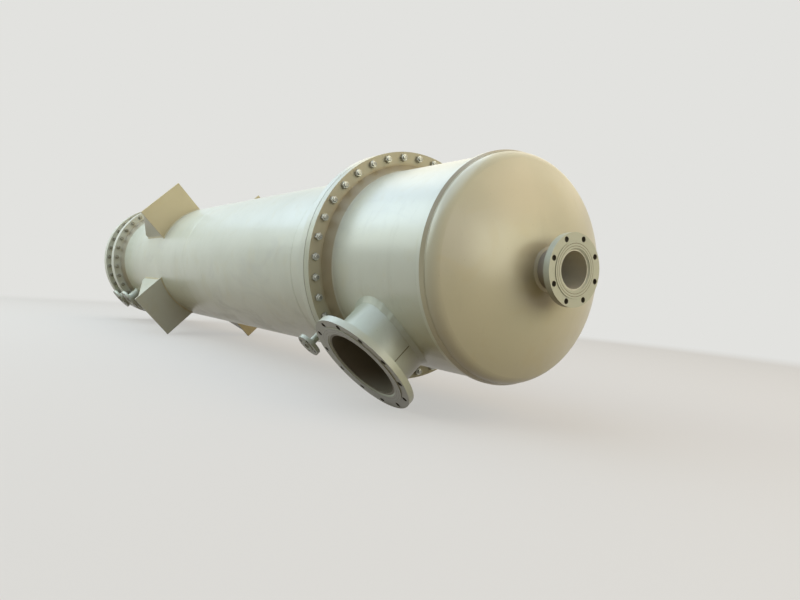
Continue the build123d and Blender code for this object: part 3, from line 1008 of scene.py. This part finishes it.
class ABSORBER_OT_bracket_welds(bpy.types.Operator):
    """Fillet welds of the four support brackets"""

    bl_idname = "absorber.bracket_welds"
    bl_label = "Bracket welds"

    def execute(self, context):
        shape = context.scene.absorber_sizes
        colours = context.scene.absorber_colours
        coat = weld_paint("bracket_weld_paint", colours.bracket, colours, 0.3, 0.2)
        radius, leg, step = shape.shell_radius, shape.bracket_weld, 0.005
        gusset_offset, half_gusset, half_plate = 0.164, 0.007, 0.1875
        gusset_length, plate_reach = 0.5, 0.645
        plate_gap, shell_gap = 0.004, 0.006
        for number, degrees_round in enumerate(bracket_angles):
            name = f"bracket_{number + 1}"
            low_corner, high_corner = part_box(name + "_base_plate")
            front, back = high_corner.x, low_corner.x
            middle = radians(degrees_round)
            up, side = radial(middle), radial(middle + pi / 2)
            parts = []

            # Along the plate on both its faces: an arc of the shell
            inner = gusset_offset - half_gusset
            for x, half, way in ((front, half_plate, 1), (back, inner, -1)):
                out = radial(middle + np.arcsin(np.linspace(-half, half, spread(2 * half, step)) / radius))
                parts.append(bead(on_axis(x) + radius * out, way * along_x, out, leg, False))

            # On both faces of each gusset: along the shell, and up the plate
            for hand in (-1, 1):
                for face in (-1, 1):
                    across = hand * gusset_offset + face * half_gusset
                    height = sqrt(radius ** 2 - across ** 2)
                    normal = (across * side + height * up) / radius
                    along_shell = face * side - np.dot(face * side, normal) * normal
                    along_shell /= np.linalg.norm(along_shell)
                    count = spread(gusset_length, step)
                    stations = np.linspace(back - plate_gap, back - gusset_length, count)
                    path = stations[:, None] * along_x + on_axis(0.0) + radius * normal
                    parts.append(bead(path, along_shell, up, leg, False))
                    lift = np.linspace(height + shell_gap, plate_reach, spread(0.2, step))[:, None]
                    path = on_axis(back) + across * side + lift * up
                    parts.append(bead(path, face * side, -along_x, leg, False))
            add_piece(name + "_welds", join(parts), coat)
        return {"FINISHED"}


class ABSORBER_OT_tube_ends(bpy.types.Operator):
    """Ends of the graphite tubes on both tube sheets"""

    bl_idname = "absorber.tube_ends"
    bl_label = "Tube ends"

    def execute(self, context):
        shape = context.scene.absorber_sizes
        graphite = graphite_block("graphite_tube", context.scene.absorber_colours)
        steps = np.arange(-12, 13)
        row, column = np.meshgrid(steps, steps, indexing="ij")
        y = (column + 0.5 * np.mod(row, 2)) * shape.tube_pitch
        z = row * shape.tube_pitch * sqrt(3) / 2
        keep = np.hypot(y, z) < shape.tube_field - shape.tube_radius
        centres = np.stack([0.0 * y[keep], y[keep], z[keep] + axis_height], -1)
        sides, bore, bore_floor = 12, shape.tube_radius - shape.tube_wall, 0.0006
        radii = np.array([shape.tube_radius, shape.tube_radius, bore, bore])
        sheets = {
            "lower": (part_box("lower_tube_sheet")[1].x, 1, 0.006),
            "upper": (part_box("upper_tube_sheet")[0].x, -1, 0.016),
        }
        for name, (x, way, stand) in sheets.items():
            stations = x + way * np.array([0.0, stand, stand, bore_floor])
            ring = radii[:, None, None] * radial(around(sides)) + stations[:, None, None] * along_x
            ring = ring.reshape(-1, 3)
            faces, floor = quads_between(4, sides, False, True), np.arange(3 * sides, 4 * sides)
            if way < 0:
                faces, floor = faces[:, ::-1], floor[::-1]
            first = np.arange(len(centres)) * len(ring)
            quads = (faces[None] + first[:, None, None]).reshape(-1, 4).tolist()
            floors = (floor[None] + first[:, None]).tolist()
            ends = (ring[None] + centres[:, None], quads + floors)
            add_piece(name + "_tube_ends", ends, graphite, smooth=False)
        return {"FINISHED"}


def area_light(name, place, target, size, power, colour):
    light = bpy.data.lights.new(name, "AREA")
    light.shape = "RECTANGLE"
    light.size, light.size_y = size
    light.energy = power
    light.color = colour
    holder = bpy.data.objects.new(name, light)
    holder.location = place
    holder.rotation_euler = (Vector(target) - Vector(place)).to_track_quat("-Z", "Y").to_euler()
    holder.visible_camera = False
    bpy.context.scene.collection.objects.link(holder)


def mixed_shaders(tree, share, first, second):
    return node(tree, "ShaderNodeMixShader", {0: share, 1: first, 2: second})


class ABSORBER_OT_studio(bpy.types.Operator):
    """Floor, lights, background and camera"""

    bl_idname = "absorber.studio"
    bl_label = "Studio"

    def execute(self, context):
        scene = context.scene
        studio, colours = scene.absorber_studio, scene.absorber_colours
        self.lay_floor(scene, studio, colours)
        middle, low_body, head = (0.2, 0.0, 0.6), (0.6, 0.0, 0.6), (2.6, 0.0, 0.6)
        panels = {
            "sky": ((-1.4, -2.2, 6.0), middle, (11.0, 9.0), (0.57, 0.765, 1.0)),
            "left": ((-3.0, -5.5, 4.5), low_body, (8.0, 5.0), (0.85, 0.97, 0.87)),
            "wall": ((-1.0, 4.0, 6.0), middle, (13.0, 8.0), (1.0, 0.82, 0.5)),
            "head": ((8.5, -1.0, 2.5), head, (5.0, 4.0), (0.74, 0.8, 1.0)),
            "warm": ((7.0, 3.0, 5.5), head, (5.0, 4.0), (1.0, 0.74, 0.5)),
            "low": ((8.5, 1.6, 2.0), head, (6.0, 3.2), (1.0, 0.99, 0.7)),
        }
        for name, (place, target, size, colour) in panels.items():
            area_light(name + "_panel", place, target, size, getattr(studio, name + "_power"), colour)
        self.light_room(scene, studio, colours)

        lens = bpy.data.cameras.new("camera")
        lens.sensor_width = 36.0
        lens.lens = studio.lens
        lens.clip_end = 300.0
        camera = bpy.data.objects.new("camera", lens)
        camera.location = studio.camera_place
        camera.rotation_euler = studio.camera_turn
        scene.collection.objects.link(camera)
        scene.camera = camera
        scene.view_settings.view_transform = "Standard"
        return {"FINISHED"}

    def lay_floor(self, scene, studio, colours):
        """A disc of rings that turns into the background's colour away from the vessel."""
        sides = 96
        turn = around(sides)[None, :]
        reach = np.array([0.01, 2.0, 4.0, 8.0, 16.0, 40.0, 90.0])[:, None]
        points = np.stack([reach * np.cos(turn), reach * np.sin(turn), 0.0 * reach * turn], -1).reshape(-1, 3)
        faces = quads_between(len(reach), sides, False, True)[:, ::-1].tolist() + [list(range(sides))]
        mesh = bpy.data.meshes.new("floor")
        mesh.from_pydata(points.tolist(), [], faces)
        material, tree, shader, coordinates = start_material("studio_floor")
        inner_edge, outer_edge = 3.4, 7.0
        far = node(tree, "ShaderNodeVectorMath", {0: coordinates["Object"]}, "Value", operation="LENGTH")
        far = span(far, inner_edge, outer_edge)
        ray = outputs_of(tree, tree.nodes.new("ShaderNodeLightPath"))
        seen = ray["Is Camera Ray"].math("MAXIMUM", ray["Is Glossy Ray"])
        wire(tree, shader, {
            "Base Color": blend(seen, colours.floor_bounce, colours.floor_near), "Roughness": 0.9,
            "Specular IOR Level": 0.0,
        })
        glow = node(tree, "ShaderNodeEmission", {"Color": colours.floor, "Strength": 1.0})
        own = Value(tree, tree.nodes["Principled BSDF"].outputs[0])
        mixed = mixed_shaders(tree, far.math("MAXIMUM", studio.floor_glow) * seen, own, glow)
        wire(tree, tree.nodes["Material Output"].inputs, {"Surface": mixed})
        mesh.materials.append(material)
        floor = bpy.data.objects.new("floor", mesh)
        scene.collection.objects.link(floor)

    def light_room(self, scene, studio, colours):
        """The even room light, and the background's colour where it is seen directly or in a reflection."""
        world = bpy.data.worlds.new("studio_room")
        world.use_nodes = True
        tree = world.node_tree
        tree.nodes.clear()
        ray = outputs_of(tree, tree.nodes.new("ShaderNodeLightPath"))
        seen = ray["Is Glossy Ray"].math("MAXIMUM", ray["Is Transmission Ray"])
        seen = ray["Is Camera Ray"].math("MAXIMUM", seen)
        room = node(tree, "ShaderNodeBackground", {"Color": studio.room_light, "Strength": 1.0})
        behind = node(tree, "ShaderNodeBackground", {"Color": colours.floor, "Strength": 1.0})
        output = tree.nodes.new("ShaderNodeOutputWorld")
        wire(tree, output.inputs, {"Surface": mixed_shaders(tree, seen, room, behind)})
        scene.world = world


operators = [
    ABSORBER_OT_studio, ABSORBER_OT_finish_solids, ABSORBER_OT_joint_bolts, ABSORBER_OT_flange_welds,
    ABSORBER_OT_nozzle_welds, ABSORBER_OT_shell_seams, ABSORBER_OT_bracket_welds, ABSORBER_OT_tube_ends,
]


class ABSORBER_PT_panel(bpy.types.Panel):
    """The absorber's sizes, colours and steps"""

    bl_idname = "ABSORBER_PT_panel"
    bl_label = "Falling film absorber"
    bl_space_type = "VIEW_3D"
    bl_region_type = "UI"
    bl_category = "Absorber"

    def draw(self, context):
        scene = context.scene
        for group in (scene.absorber_sizes, scene.absorber_colours, scene.absorber_studio):
            box = self.layout.box()
            for field in group.__annotations__:
                box.prop(group, field)
        for operator in operators:
            self.layout.operator(operator.bl_idname)


classes = [AbsorberSizes, AbsorberColours, AbsorberStudio, *operators, ABSORBER_PT_panel]


def register():
    for each in classes:
        bpy.utils.register_class(each)
    bpy.types.Scene.absorber_sizes = PointerProperty(type=AbsorberSizes)
    bpy.types.Scene.absorber_colours = PointerProperty(type=AbsorberColours)
    bpy.types.Scene.absorber_studio = PointerProperty(type=AbsorberStudio)


def unregister():
    del bpy.types.Scene.absorber_studio
    del bpy.types.Scene.absorber_colours
    del bpy.types.Scene.absorber_sizes
    for each in reversed(classes):
        bpy.utils.unregister_class(each)


def main():
    register()
    bpy.ops.absorber.studio()
    bpy.ops.absorber.finish_solids()
    bpy.ops.absorber.joint_bolts()
    bpy.ops.absorber.flange_welds()
    bpy.ops.absorber.nozzle_welds()
    bpy.ops.absorber.shell_seams()
    bpy.ops.absorber.bracket_welds()
    bpy.ops.absorber.tube_ends()


if __name__ == "__main__":
    main()
